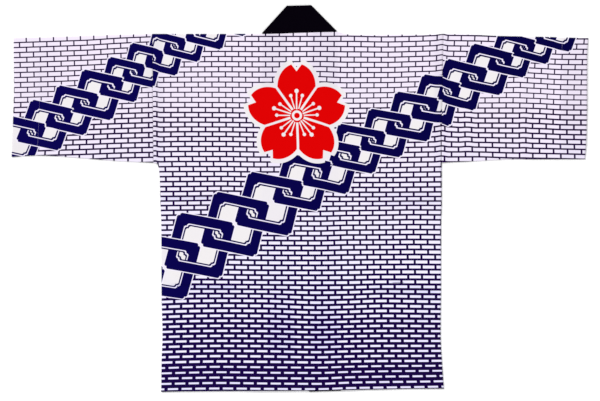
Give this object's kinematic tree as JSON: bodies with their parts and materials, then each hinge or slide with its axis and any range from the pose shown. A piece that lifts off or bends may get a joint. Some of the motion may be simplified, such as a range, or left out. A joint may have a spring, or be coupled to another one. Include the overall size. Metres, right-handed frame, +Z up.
{
  "type": "happi coat",
  "caption": "Cotton happi coat laid out flat with its back up: straight body, square sleeves spread wide, black collar band folded over at the neck.",
  "frame": {"origin": "middle of the laid-out coat's outline, on the surface it lies on", "axes": "+Z up from that surface, +Y from the hem to the collar, +X from sleeve to sleeve, towards the right-hand sleeve as seen from above with the collar away from the viewer"},
  "size_m": [1.2884, 0.8632, 0.0064],
  "materials": {
    "printed_cotton": "matt plain-weave cotton, white with a navy print",
    "black_cotton": "matt black plain-weave cotton, folded double"
  },
  "bodies": {
    "root": {"back": "printed_cotton", "front_left": "printed_cotton", "front_right": "printed_cotton", "sleeve_left": "printed_cotton", "sleeve_right": "printed_cotton", "collar": "black_cotton"}
  },
  "joints": []
}
